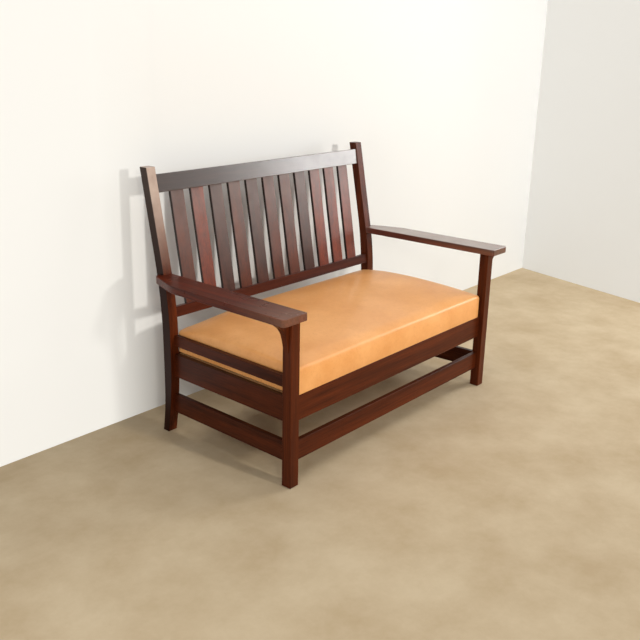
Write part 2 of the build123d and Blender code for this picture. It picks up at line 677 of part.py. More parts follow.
def settle():
    """All pieces by name."""
    stretcher_front, front_low = cross_rail(FRONT_INNER, RAIL_SETBACK, STRETCHER_BOTTOM, STRETCHER_DEPTH)
    seat_bottom = SEAT_HEIGHT - SEAT_RAIL_DEPTH
    seat_front, front_high = cross_rail(FRONT_INNER, RAIL_SETBACK, seat_bottom, SEAT_RAIL_DEPTH)
    seat_rear, rear_high = cross_rail(BACK_INNER, REAR_RAIL_FRONT, seat_bottom, SEAT_RAIL_DEPTH)
    stretcher_side, side_low = side_rail(STRETCHER_BOTTOM, STRETCHER_DEPTH, True)
    seat_side, side_high = side_rail(seat_bottom, SEAT_RAIL_DEPTH, True)
    upper_side, side_upper = side_rail(UPPER_RAIL_BOTTOM, UPPER_RAIL_DEPTH, False)
    lower_back, lower_cut = panel_rail(0, LOWER_RAIL_DEPTH)
    crest, crest_cut = panel_rail(CREST_CLIMB, CREST_DEPTH)
    slats = [slat(index) for index in range(SLAT_COUNT)]
    housings = [cutter for _, cutter in slats]
    post_front_right = front_post([front_low, front_high, side_low, side_high, side_upper])
    post_back_right = back_post([rear_high, side_low, side_high, side_upper, lower_cut, crest_cut])
    right_arm = arm()
    right_corbel = corbel()

    side_screws = side_screw_places() + block_screw_places()
    hole = screw_hole()
    cross_holes = [place * hole for place in cleat_screw_places()]
    side_holes = [place * hole for place in side_screws]
    block_holes = side_holes + [mirrored(cut) for cut in side_holes]
    seat_front = seat_front - cross_holes - block_holes
    seat_rear = seat_rear - cross_holes - block_holes
    seat_side = seat_side - side_holes
    front_cleat = long_cleat(RAIL_INNER, FRONT_INNER, 1) - cross_holes
    rear_cleat = long_cleat(REAR_RAIL_FRONT, BACK_INNER, -1) - cross_holes
    right_cleat = side_cleat() - side_holes
    front_block = corner_block(RAIL_INNER, 1) - side_holes
    rear_block = corner_block(REAR_RAIL_FRONT, -1) - side_holes
    screw = screw_form()
    screws = [place * screw for place in cleat_screw_places()]
    for place in side_screws:
        screws += [place * screw, mirrored(place * screw)]

    pieces = {
        "crest_rail": crest - housings,
        "lower_back_rail": lower_back - housings,
        "front_seat_rail": seat_front,
        "rear_seat_rail": seat_rear,
        "front_stretcher": stretcher_front,
        "front_cleat": front_cleat,
        "rear_cleat": rear_cleat,
        "seat_screws": Compound(screws),
        "seat_cushion": seat_cushion(),
    }
    for index, (piece, _) in enumerate(slats):
        pieces[f"back_slat_{index + 1:02d}"] = piece
    pairs = {
        "front_post": post_front_right,
        "back_post": post_back_right,
        "seat_rail": seat_side,
        "upper_side_rail": upper_side,
        "stretcher": stretcher_side,
        "arm": right_arm,
        "corbel": right_corbel,
        "cleat": right_cleat,
        "front_corner_block": front_block,
        "rear_corner_block": rear_block,
    }
    for name, piece in pairs.items():
        pieces[f"right_{name}"] = piece
        pieces[f"left_{name}"] = mirrored(piece)
    pieces.update(deck_parts())
    return pieces


os.makedirs("parts", exist_ok=True)
for node, shape in settle().items():
    export_step(shape, f"parts/{node}.step")
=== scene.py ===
import math

import bmesh
import bpy
from mathutils import Matrix, Vector


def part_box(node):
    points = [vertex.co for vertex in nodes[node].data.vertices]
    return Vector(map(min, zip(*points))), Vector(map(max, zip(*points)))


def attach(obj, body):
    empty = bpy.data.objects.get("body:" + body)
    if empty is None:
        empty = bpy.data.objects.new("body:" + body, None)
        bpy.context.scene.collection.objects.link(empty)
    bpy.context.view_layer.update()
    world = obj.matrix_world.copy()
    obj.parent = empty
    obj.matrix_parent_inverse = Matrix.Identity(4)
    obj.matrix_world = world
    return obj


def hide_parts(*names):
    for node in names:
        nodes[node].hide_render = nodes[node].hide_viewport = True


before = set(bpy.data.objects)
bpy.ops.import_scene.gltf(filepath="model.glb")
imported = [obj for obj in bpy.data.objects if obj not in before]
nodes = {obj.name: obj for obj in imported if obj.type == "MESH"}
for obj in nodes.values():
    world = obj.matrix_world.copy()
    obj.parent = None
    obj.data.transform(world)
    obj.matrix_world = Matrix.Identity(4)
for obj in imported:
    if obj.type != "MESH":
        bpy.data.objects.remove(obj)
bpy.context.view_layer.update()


# Helpers

def colour(code):
    """sRGB hex to the linear RGBA that the shaders take."""
    parts = [int(code[i:i + 2], 16) / 255 for i in (1, 3, 5)]
    return tuple(c / 12.92 if c <= 0.04045 else ((c + 0.055) / 1.055) ** 2.4 for c in parts) + (1.0,)


def add(tree, kind, inputs=None, **settings):
    """Adds a node with its settings, and fills or links its inputs."""
    node = tree.nodes.new(kind)
    for name, value in settings.items():
        setattr(node, name, value)
    for key, value in (inputs or {}).items():
        if isinstance(value, bpy.types.NodeSocket):
            tree.links.new(value, node.inputs[key])
        else:
            node.inputs[key].default_value = value
    return node


def new_material(name):
    """An empty material, its tree and its output node."""
    material = bpy.data.materials.new(name)
    material.use_nodes = True
    material.node_tree.nodes.clear()
    output = material.node_tree.nodes.new("ShaderNodeOutputMaterial")
    return material, material.node_tree, output


def dress(node, material):
    """Gives a CAD node its finish."""
    for slot in nodes[node].material_slots:
        slot.material = material


def mesh_piece(name, mesh, material):
    """An object for a mesh that is already in its place."""
    piece = bpy.data.objects.new(name, mesh)
    bpy.context.scene.collection.objects.link(piece)
    mesh.materials.clear()
    mesh.materials.append(material)
    return piece


def evaluated(piece):
    """The piece's mesh with its modifiers applied."""
    graph = bpy.context.evaluated_depsgraph_get()
    return bpy.data.meshes.new_from_object(piece.evaluated_get(graph))


# Camera

YAW, PITCH, ROLL = (math.radians(angle) for angle in (50.067, -18.162, 1.197))
CAMERA_AT = Vector((-2.5251, -2.0576, 1.4361))
FOCAL_SHARE = 847.31 / 640          # focal length over the frame's width

ahead = Vector((math.cos(PITCH) * math.sin(YAW), math.cos(PITCH) * math.cos(YAW), math.sin(PITCH)))
level = Vector((math.cos(YAW), -math.sin(YAW), 0))
upright = level.cross(ahead)
right = level * math.cos(ROLL) + upright * math.sin(ROLL)
above = upright * math.cos(ROLL) - level * math.sin(ROLL)
lens = bpy.data.cameras.new("camera")
lens.sensor_width = 36.0
lens.lens = 36.0 * FOCAL_SHARE
lens.clip_start = 0.05
lens.clip_end = 60
camera = bpy.data.objects.new("camera", lens)
camera.matrix_world = Matrix.Translation(CAMERA_AT) @ Matrix((right, above, -ahead)).transposed().to_4x4()
bpy.context.scene.collection.objects.link(camera)
bpy.context.scene.camera = camera
bpy.context.scene.view_settings.view_transform = "Standard"


# Wood

GRAIN_TURNS = {"x": (0, 0, 0), "y": (0, 0, -math.pi / 2), "z": (0, math.pi / 2, 0)}


def board_pattern(tree, board, along_mm, across_mm, detail, roughness):
    """Noise stretched along the grain, with features of about this size."""
    stretch = (1000 / along_mm, 1000 / across_mm, 1000 / across_mm)
    mapped = add(tree, "ShaderNodeMapping", {"Vector": board, "Scale": stretch}).outputs["Vector"]
    return add(tree, "ShaderNodeTexNoise", {
        "Vector": mapped, "Scale": 1.0, "Detail": detail, "Roughness": roughness,
    }).outputs["Fac"]


def ranged(tree, value, low, high, to_low=0.0, to_high=1.0):
    """A value carried from one range to another."""
    return add(tree, "ShaderNodeMapRange", {
        "Value": value, "From Min": low, "From Max": high, "To Min": to_low, "To Max": to_high,
    }).outputs["Result"]


def mixed(tree, share, first, second):
    """A colour between two others."""
    return add(tree, "ShaderNodeMix", {0: share, 6: first, 7: second}, data_type="RGBA").outputs[2]


def with_painted_reflection(tree, place, stain, axis, start, end, share, tint):
    """Painted reflection: the stain mixed towards a pale tint in soft patches, more so from start to end
    along an axis.
    The tint stands in for the lamps' glare on the varnish, painted into the colour."""
    along = add(tree, "ShaderNodeSeparateXYZ", {"Vector": place}).outputs[axis.upper()]
    patch = add(tree, "ShaderNodeTexNoise", {"Vector": place, "Scale": 14.0, "Detail": 5.0}).outputs["Fac"]
    # Share of painted reflection: the pale tint stands in for glare on the varnish
    reflection_share = add(tree, "ShaderNodeMath", {
        0: ranged(tree, along, start, end, 0.0, share),
        1: ranged(tree, patch, 0.3, 0.6, 0.7, 1.0),
    }, operation="MULTIPLY").outputs[0]
    return mixed(tree, reflection_share, stain, colour(tint))


def board_surface(tree, grain, seed, dark, light, pore_and_edge_shade, roughness, painted_edge_shade=0.0, painted_reflection=None):
    """Planed board: ribbon figure, fibres and dark pore flecks along the grain. Its side edges can carry
    painted shade, darker than its faces, and parts of it a painted reflection."""
    place = add(tree, "ShaderNodeTexCoord").outputs["Object"]
    board = add(tree, "ShaderNodeMapping", {
        "Vector": place,
        "Location": (seed * 0.713, seed * 0.291, seed * 0.457),
        "Rotation": GRAIN_TURNS[grain],
    }).outputs["Vector"]
    ribbon = board_pattern(tree, board, 700, 24, 2.0, 0.5)     # quarter-sawn stripe, 24 mm wide
    fibre = board_pattern(tree, board, 160, 3.0, 3.0, 0.62)    # finer in life than the render can show
    pore = board_pattern(tree, board, 24, 1.2, 1.0, 0.5)
    tone = add(tree, "ShaderNodeMath", {0: ribbon, 1: fibre}, operation="ADD").outputs[0]
    stain = mixed(tree, ranged(tree, tone, 0.74, 1.28), colour(dark), colour(light))
    fleck = ranged(tree, pore, 0.60, 0.72, 0.0, 0.45)
    stain = mixed(tree, fleck, stain, colour(pore_and_edge_shade))
    # Painted reflection: pale patches standing in for glare on the varnish
    if painted_reflection:
        stain = with_painted_reflection(tree, place, stain, *painted_reflection)
    # Painted shade: faces turned along x take the dark pore colour, standing in for the shade on side edges
    if painted_edge_shade:
        normal = add(tree, "ShaderNodeNewGeometry").outputs["True Normal"]
        sideways = add(tree, "ShaderNodeSeparateXYZ", {"Vector": normal}).outputs["X"]
        edge = add(tree, "ShaderNodeMath", {0: sideways}, operation="ABSOLUTE").outputs[0]
        stain = mixed(tree, ranged(tree, edge, 0.5, 0.8, 0.0, painted_edge_shade), stain, colour(pore_and_edge_shade))
    smudge = add(tree, "ShaderNodeTexNoise", {"Vector": place, "Scale": 9.0, "Detail": 3.0}).outputs["Fac"]
    sheen = ranged(tree, smudge, 0.3, 0.7, roughness - 0.04, roughness + 0.06)
    ripple = add(tree, "ShaderNodeMath", {0: fibre, 1: fleck}, operation="SUBTRACT").outputs[0]
    bump = add(tree, "ShaderNodeBump", {
        "Height": ripple, "Strength": 0.10, "Distance": 0.0005,
    }).outputs["Normal"]
    return add(tree, "ShaderNodeBsdfPrincipled", {
        "Base Color": stain, "Roughness": sheen, "Normal": bump,
    })


def varnished_mahogany(name, grain, seed, dark, light, shine=0.09, coat=0.05, roughness=0.36,
                       painted_edge_shade=0.0, painted_reflection=None):
    """Mahogany under a dark red stain and old satin varnish: deep warm colour under a soft reflection."""
    material, tree, output = new_material(name)
    surface = board_surface(tree, grain, seed, dark, light, "#1a0804", roughness, painted_edge_shade, painted_reflection)
    surface.inputs["IOR"].default_value = 1.5
    surface.inputs["Specular IOR Level"].default_value = shine
    surface.inputs["Coat Weight"].default_value = coat
    surface.inputs["Coat Roughness"].default_value = 0.22
    tree.links.new(surface.outputs[0], output.inputs[0])
    return material


def planed_poplar(name, grain, seed):
    """Planed poplar of the hidden frame, unfinished: pale, dry and matt."""
    material, tree, output = new_material(name)
    surface = board_surface(tree, grain, seed, "#a98a60", "#c9ad82", "#8a6d48", 0.62)
    tree.links.new(surface.outputs[0], output.inputs[0])
    return material


# The dark and the light of each stain's grain
BROWN = ("#3a170a", "#5d2810")
DARK = ("#2e1108", "#50220f")
RED = ("#45180c", "#803419")
DUSK = ("#2b130c", "#4a2519")
# Slats: painted shade on their side edges, and a painted reflection that grows towards their tops
SLAT_FINISH = {
    "shine": 0.28, "coat": 0.12, "roughness": 0.46, "painted_edge_shade": 1.0,
    "painted_reflection": ("z", 0.50, 0.94, 0.38, "#a19a98"),
}

front_posts = varnished_mahogany("mahogany_front_posts", "z", 3.1, *BROWN)
right_back_post = varnished_mahogany("mahogany_right_back_post", "z", 4.7, *BROWN)
# Left back post: painted shade on its sides, and a painted reflection that whitens it towards its top
left_back_post = varnished_mahogany(
    "mahogany_left_back_post", "z", 6.1, *BROWN, painted_edge_shade=0.9,
    painted_reflection=("z", 0.62, 0.92, 0.8, "#c4b1a4")
)
front_rails = varnished_mahogany("mahogany_front_rails", "x", 11.7, *BROWN)
back_rails = varnished_mahogany("mahogany_back_rails", "x", 17.3, "#33130a", "#522210")
# Crest: a painted reflection that grows from its left end to its right
crest = varnished_mahogany(
    "mahogany_crest", "x", 19.9, "#21130e", "#38241c", shine=0.7, coat=0.72, roughness=0.36,
    painted_reflection=("x", -0.3, 0.7, 0.30, "#b5aca6")
)
side_rails = varnished_mahogany("mahogany_side_rails", "y", 23.9, *DARK)
ARM_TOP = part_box("right_arm")[1].z
# Left arm: a painted reflection that grows towards its front end
left_arm = varnished_mahogany(
    "mahogany_left_arm", "y", 31.3, "#3a130a", "#682812", shine=0.12, coat=0.06, roughness=0.28,
    painted_reflection=("y", -0.14, -0.40, 0.31, "#a27d67")
)
# Right arm: a painted reflection over its top face
right_arm = varnished_mahogany(
    "mahogany_right_arm", "y", 37.7, "#3b160a", "#672b13", shine=0.7, coat=0.8, roughness=0.32,
    painted_reflection=("z", ARM_TOP - 0.002, ARM_TOP - 0.0005, 0.2, "#b5a193")
)
slat_boards = {
    "brown": varnished_mahogany("mahogany_slats", "z", 41.0, *BROWN, **SLAT_FINISH),
    "red": varnished_mahogany("mahogany_red_slats", "z", 46.3, *RED, **SLAT_FINISH),
    "dusk": varnished_mahogany("mahogany_dusky_slats", "z", 51.6, *DUSK, **SLAT_FINISH),
}

for side in ("left", "right"):
    dress(f"{side}_front_post", front_posts)
    dress(f"{side}_corbel", front_posts)
    for rail in ("seat_rail", "upper_side_rail", "stretcher"):
        dress(f"{side}_{rail}", side_rails)
for rail in ("front_seat_rail", "front_stretcher"):
    dress(rail, front_rails)
for rail in ("rear_seat_rail", "lower_back_rail"):
    dress(rail, back_rails)
dress("left_arm", left_arm)
dress("right_arm", right_arm)
dress("left_back_post", left_back_post)
dress("right_back_post", right_back_post)
dress("crest_rail", crest)
SLAT_TONES = ("brown", "red", "dusk", "brown", "dusk", "brown", "brown", "dusk", "red", "red", "red")
for index, tone in enumerate(SLAT_TONES):
    dress(f"back_slat_{index + 1:02d}", slat_boards[tone])

poplar_across = planed_poplar("planed_poplar_across", "x", 53.0)
poplar_along = planed_poplar("planed_poplar_along", "y", 59.0)
RUN_BACK = ("deck_left_member", "deck_right_member", "deck_brace", "left_cleat", "right_cleat")
for node in nodes:
    if node.startswith("deck_") or node.endswith("cleat") or node.endswith("corner_block"):
        dress(node, poplar_along if node in RUN_BACK else poplar_across)


# Webbing and steel

def jute_webbing():
    """Plain-woven jute band: matt, hairy and straw coloured. Its 2.5 mm threads show as a fine check."""
    material, tree, output = new_material("jute_webbing")
    place = add(tree, "ShaderNodeTexCoord").outputs["Object"]
    thread_mm = 2.5
    bands = []
    for axis in ("X", "Y"):
        bands.append(add(tree, "ShaderNodeTexWave", {
            "Vector": place, "Scale": math.pi / 10 * 1000 / thread_mm, "Distortion": 0.4, "Detail": 1.0,
        }, wave_type="BANDS", bands_direction=axis).outputs["Fac"])
    weave = add(tree, "ShaderNodeMath", {0: bands[0], 1: bands[1]}, operation="MULTIPLY").outputs[0]
    fuzz = add(tree, "ShaderNodeTexNoise", {"Vector": place, "Scale": 60.0, "Detail": 4.0}).outputs["Fac"]
    shade = add(tree, "ShaderNodeMath", {0: weave, 1: fuzz}, operation="ADD").outputs[0]
    shade = ranged(tree, shade, 0.3, 1.4)
    straw = mixed(tree, shade, colour("#7d6540"), colour("#c0a472"))
    bump = add(tree, "ShaderNodeBump", {
        "Height": shade, "Strength": 0.5, "Distance": 0.0008,
    }).outputs["Normal"]
    surface = add(tree, "ShaderNodeBsdfPrincipled", {"Base Color": straw, "Roughness": 0.9, "Normal": bump})
    tree.links.new(surface.outputs[0], output.inputs[0])
    return material


def zinc_plated_steel():
    """Bright zinc on rolled steel: a greyish metal, a little blotched."""
    material, tree, output = new_material("zinc_plated_steel")
    place = add(tree, "ShaderNodeTexCoord").outputs["Object"]
    blotch = add(tree, "ShaderNodeTexNoise", {"Vector": place, "Scale": 400.0, "Detail": 3.0}).outputs["Fac"]
    zinc = mixed(tree, blotch, colour("#8f8d84"), colour("#c9c8c0"))
    surface = add(tree, "ShaderNodeBsdfPrincipled", {
        "Base Color": zinc, "Metallic": 1.0, "Roughness": ranged(tree, blotch, 0.0, 1.0, 0.28, 0.5),
    })
    tree.links.new(surface.outputs[0], output.inputs[0])
    return material


dress("seat_straps", jute_webbing())


# Screws of the seat

HEAD_RADIUS = 0.004
HEAD_DEPTH = 0.0024
SHANK_RADIUS = 0.002
SCREW_LENGTH = 0.033
TIP_SHARE = 0.3             # of the shank's radius, at its tip
RECESS_WIDTH = 0.0011
RECESS_LENGTH_SHARE = 1.15  # of the head's radius
RECESS_HEIGHT_SHARE = 1.2   # of the head's depth, half of it above the head
SCREW_SIDES = 12
HEAD_REACH = 0.012          # from a screw's farthest point, this takes in its end there
TIP_REACH = 0.022           # and beyond this lies its other end
RIM_DEPTH = 0.0002


def screw_tree(steel):
    """Nodes that set a cross-head wood screw, head up at its own origin, on each point, along its "axis"."""
    tree = bpy.data.node_groups.new("screws", "GeometryNodeTree")
    tree.interface.new_socket("Geometry", in_out="INPUT", socket_type="NodeSocketGeometry")
    for name in ("Head radius", "Head depth", "Shank radius", "Length", "Recess width"):
        tree.interface.new_socket(name, in_out="INPUT", socket_type="NodeSocketFloat")
    tree.interface.new_socket("Geometry", in_out="OUTPUT", socket_type="NodeSocketGeometry")
    given = add(tree, "NodeGroupInput").outputs

    def scaled(value, share):
        """A given size times a number."""
        return add(tree, "ShaderNodeMath", {0: value, 1: share}, operation="MULTIPLY").outputs[0]

    head = add(tree, "GeometryNodeMeshCone", {
        "Vertices": SCREW_SIDES, "Radius Top": given["Head radius"], "Radius Bottom": given["Shank radius"],
        "Depth": given["Head depth"],
    }).outputs["Mesh"]
    head_place = add(tree, "ShaderNodeCombineXYZ", {"Z": scaled(given["Head depth"], -1.0)}).outputs[0]
    head = add(tree, "GeometryNodeTransform", {"Geometry": head, "Translation": head_place}).outputs[0]
    bars = []
    for wide, long in (("X", "Y"), ("Y", "X")):
        size = add(tree, "ShaderNodeCombineXYZ", {
            wide: given["Recess width"],
            long: scaled(given["Head radius"], RECESS_LENGTH_SHARE),
            "Z": scaled(given["Head depth"], RECESS_HEIGHT_SHARE),
        }).outputs[0]
        bars.append(add(tree, "GeometryNodeMeshCube", {"Size": size}).outputs["Mesh"])
    recessed = add(tree, "GeometryNodeMeshBoolean", operation="DIFFERENCE", solver="EXACT")
    tree.links.new(head, recessed.inputs[0])
    for bar in bars:
        tree.links.new(bar, recessed.inputs[1])
    shank_depth = add(tree, "ShaderNodeMath", {
        0: given["Length"], 1: given["Head depth"],
    }, operation="SUBTRACT").outputs[0]
    shank = add(tree, "GeometryNodeMeshCone", {
        "Vertices": SCREW_SIDES, "Radius Top": given["Shank radius"],
        "Radius Bottom": scaled(given["Shank radius"], TIP_SHARE), "Depth": shank_depth,
    }).outputs["Mesh"]
    shank_place = add(tree, "ShaderNodeCombineXYZ", {"Z": scaled(given["Length"], -1.0)}).outputs[0]
    shank = add(tree, "GeometryNodeTransform", {"Geometry": shank, "Translation": shank_place}).outputs[0]
    screw = add(tree, "GeometryNodeJoinGeometry")
    tree.links.new(recessed.outputs[0], screw.inputs[0])
    tree.links.new(shank, screw.inputs[0])
    axis = add(tree, "GeometryNodeInputNamedAttribute", {"Name": "axis"}, data_type="FLOAT_VECTOR").outputs[0]
    turn = add(tree, "FunctionNodeAlignRotationToVector", {"Vector": axis}, axis="Z").outputs[0]
    placed = add(tree, "GeometryNodeInstanceOnPoints", {
        "Points": given["Geometry"], "Instance": screw.outputs[0], "Rotation": turn,
    }).outputs[0]
    real = add(tree, "GeometryNodeRealizeInstances", {"Geometry": placed}).outputs[0]
    finished = add(tree, "GeometryNodeSetMaterial", {"Geometry": real, "Material": steel}).outputs[0]
    result = add(tree, "NodeGroupOutput", {0: finished})
    result.is_active_output = True
    return tree


def spread(points):
    """Greatest distance between two points of a set."""
    return max((p - q).length for p in points for q in points)


def screw_places():
    """Where each screw's head lies in the CAD model, and the way that it faces."""
    shape = bmesh.new()
    shape.from_mesh(nodes["seat_screws"].data)
    bmesh.ops.remove_doubles(shape, verts=shape.verts, dist=1e-6)
    places = []
    waiting = set(shape.verts)
    while waiting:
        screw, reached = [], [waiting.pop()]
        while reached:
            vertex = reached.pop()
            screw.append(vertex.co.copy())
            for edge in vertex.link_edges:
                following = edge.other_vert(vertex)
                if following in waiting:
                    waiting.remove(following)
                    reached.append(following)
        middle = sum(screw, Vector()) / len(screw)
        far = max(screw, key=lambda p: (p - middle).length)
        near_end = [p for p in screw if (p - far).length < HEAD_REACH]
        far_end = [p for p in screw if (p - far).length > TIP_REACH]
        top, tip = sorted((near_end, far_end), key=spread, reverse=True)
        along = (sum(top, Vector()) / len(top) - sum(tip, Vector()) / len(tip)).normalized()
        reach = max(p.dot(along) for p in screw)
        rim = [p for p in screw if p.dot(along) > reach - RIM_DEPTH]
        places.append((sum(rim, Vector()) / len(rim), along))
    shape.free()
    return sorted(places, key=lambda place: tuple(round(v, 4) for v in place[0]))


def seat_screws():
    """The screws of the cleats and corner blocks."""
    places = screw_places()
    mesh = bpy.data.meshes.new("screw_points")
    mesh.from_pydata([place for place, _ in places], [], [])
    axes = mesh.attributes.new("axis", "FLOAT_VECTOR", "POINT")
    for slot, (_, along) in zip(axes.data, places):
        slot.vector = along
    steel = zinc_plated_steel()
    screws = mesh_piece("cross_head_screws", mesh, steel)
    tree = screw_tree(steel)
    driven = screws.modifiers.new("screws", "NODES")
    driven.node_group = tree
    sizes = {
        "Head radius": HEAD_RADIUS, "Head depth": HEAD_DEPTH, "Shank radius": SHANK_RADIUS,
        "Length": SCREW_LENGTH, "Recess width": RECESS_WIDTH,
    }
    for socket in tree.interface.items_tree:
        if socket.in_out == "INPUT" and socket.name in sizes:
            driven[socket.identifier] = sizes[socket.name]
    screws.data = evaluated(screws)
    screws.modifiers.clear()
    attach(screws, "root")
    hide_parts("seat_screws")


seat_screws()


# Cushion

def tan_cowhide():
    """Vegetable-tanned cowhide, waxed: warm tan, softly clouded, with a fine pebbled grain."""
    material, tree, output = new_material("tan_cowhide")
    place = add(tree, "ShaderNodeTexCoord").outputs["Object"]
    cloud = add(tree, "ShaderNodeTexNoise", {
        "Vector": place, "Scale": 6.0, "Detail": 6.0, "Roughness": 0.66,
    }).outputs["Fac"]
    tan = mixed(tree, ranged(tree, cloud, 0.34, 0.66), colour("#e09b57"), colour("#edad6c"))
    speck = add(tree, "ShaderNodeTexNoise", {
        "Vector": place, "Scale": 90.0, "Detail": 3.0, "Roughness": 0.7,
    }).outputs["Fac"]
    tan = mixed(tree, ranged(tree, speck, 0.50, 0.75, 0.0, 0.3), tan, colour("#cd8748"))
    pebble = add(tree, "ShaderNodeTexVoronoi", {
        "Vector": place, "Scale": 330.0, "Smoothness": 0.5,
    }, feature="SMOOTH_F1").outputs["Distance"]
    crease = add(tree, "ShaderNodeTexNoise", {
        "Vector": place, "Scale": 26.0, "Detail": 5.0, "Roughness": 0.62, "Distortion": 0.6,
    }).outputs["Fac"]
    relief = add(tree, "ShaderNodeMath", {0: crease, 1: 2.2}, operation="MULTIPLY").outputs[0]
    relief = add(tree, "ShaderNodeMath", {0: relief, 1: pebble}, operation="SUBTRACT").outputs[0]
    bump = add(tree, "ShaderNodeBump", {
        "Height": relief, "Strength": 0.16, "Distance": 0.0010,
    }).outputs["Normal"]
    surface = add(tree, "ShaderNodeBsdfPrincipled", {
        "Base Color": tan, "Roughness": ranged(tree, cloud, 0.3, 0.7, 0.40, 0.50), "Normal": bump,
        "IOR": 1.48, "Specular IOR Level": 0.4, "Coat Weight": 0.24, "Coat Roughness": 0.20,
    })
    tree.links.new(surface.outputs[0], output.inputs[0])
    return material


SWELL = 0.002               # the pad starts this much smaller and its filling presses it out
EDGE_RADIUS = 0.011         # along the top
HEM_RADIUS = 0.004          # along the bottom
CORNER_RADIUS = 0.018       # in plan
LEAST_RADIUS = 0.006        # of the same corners, where the pad is inset
DRAW_IN = 0.002             # of each side between its corners
FRONT_EDGE = 0.098          # height of the top edges above the pad's underside, at the front
SIDE_LIFT = 0.002           # by which the side edges are higher all along
SIDE_RISE = 0.026           # and, more and more, towards the rear
CROWN = 0.032               # rise of the middle above the front edge
REAR_FALL = 0.020
CORNER_DIP = 0.022          # of the rear left corner, pressed down
DIP_REACH = 0.24
SHOULDER = 0.007            # by which the side edges fall, over the last few centimetres
SHOULDER_REACH = 0.05
CELLS_ACROSS = 100
CELLS_ALONG = 50
ARC_CELLS = 2               # of each half of a corner
HEM_STEPS = 3
SIDE_STEPS = 8
EDGE_STEPS = 4
FIRM_CORNER = 0.040         # reach of the firm corners
FOOT_HOLD = 0.004           # the cover is held up to this height above the deck
TOP_EDGE_HOLD = 0.35        # share by which the firm top edge is held
CORNER_HOLD = 0.9
PRESS_LIMIT = 0.006         # farthest that the filling presses a point
PRESS_FRAMES = 20
SIDE_GIVE = 0.0015          # the cover may swell this far past the pad's plan
FRONT_GIVE = 0.004
REAR_GIVE = 0.003
TAPER = 15.5 / 620.0        # each side closes in by this much to the rear

pad_low, pad_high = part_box("seat_cushion")
FRONT, REAR, BASE = pad_low.y, pad_high.y, pad_low.z
HALF_FRONT = pad_high.x


def half_width(y):
    """Half of the pad's width, this far back."""
    return HALF_FRONT - (y - FRONT) * TAPER


def pad_ring(inset):
    """Plan of the pad at an inset, from the front left corner round by the front, right and rear."""
    corners = [
        Vector((side * (half_width(y) - inset), y))
        for side, y in ((-1, FRONT + inset), (1, FRONT + inset), (1, REAR - inset), (-1, REAR - inset))
    ]
    radius = max(CORNER_RADIUS - inset, LEAST_RADIUS)
    points = []
    for i, corner in enumerate(corners):
        following = corners[(i + 1) % 4]
        out = (following - corner).normalized()
        inward = Vector((-out.y, out.x))
        near = corner + (out + inward) * radius
        far = following + (inward - out) * radius
        cells = CELLS_ALONG if i % 2 else CELLS_ACROSS
        run = (far - near).length
        for step in range(cells):
            if step < ARC_CELLS:
                angle = math.pi / 4 * (1 - step / ARC_CELLS)
                point = near - out * radius * math.sin(angle) - inward * radius * math.cos(angle)
            elif step > cells - ARC_CELLS:
                angle = math.pi / 4 * (step - cells + ARC_CELLS) / ARC_CELLS
                point = far + out * radius * math.sin(angle) - inward * radius * math.cos(angle)
            else:
                share = (step - ARC_CELLS) / (cells - 2 * ARC_CELLS)
                bow = 4 * share * (1 - share) * DRAW_IN
                point = near + out * run * share + inward * (bow - radius)
            points.append(point)
    return points


def pad_top(x, y):
    """Height of the pad's top."""
    back = min(max((y - FRONT) / (REAR - FRONT), 0), 1)
    side = min(abs(x) / half_width(y), 1)
    fall = REAR_FALL * back ** 6
    edge = SIDE_LIFT + SIDE_RISE * (1 - (1 - back) ** 3.2) - fall
    middle = CROWN * (1 - (1 - back) ** 2.6) - fall
    corner = Vector((x + half_width(REAR), (y - REAR) * 0.6)).length
    dip = CORNER_DIP * math.exp(-(corner / DIP_REACH) ** 2)
    shoulder = max(1 - half_width(y) * (1 - side) / SHOULDER_REACH, 0)
    rise = edge + (middle - edge) * (1 - side ** 3.5)
    return BASE + FRONT_EDGE + rise - dip - SHOULDER * shoulder ** 2


def patch(ring):
    """Plan of a grid that fills a ring, by rows from the front."""
    front = ring[:CELLS_ACROSS + 1]
    right_side = ring[CELLS_ACROSS:CELLS_ACROSS + CELLS_ALONG + 1]
    rear = ring[CELLS_ACROSS + CELLS_ALONG:2 * CELLS_ACROSS + CELLS_ALONG + 1][::-1]
    left_side = (ring[2 * CELLS_ACROSS + CELLS_ALONG:] + ring[:1])[::-1]
    rows = []
    for j in range(CELLS_ALONG + 1):
        v = j / CELLS_ALONG
        row = []
        for i in range(CELLS_ACROSS + 1):
            u = i / CELLS_ACROSS
            ruled = left_side[j] * (1 - u) + right_side[j] * u + front[i] * (1 - v) + rear[i] * v
            twist = (front[0] * (1 - u) + front[-1] * u) * (1 - v) + (rear[0] * (1 - u) + rear[-1] * u) * v
            row.append(ruled - twist)
        rows.append(row)
    return rows


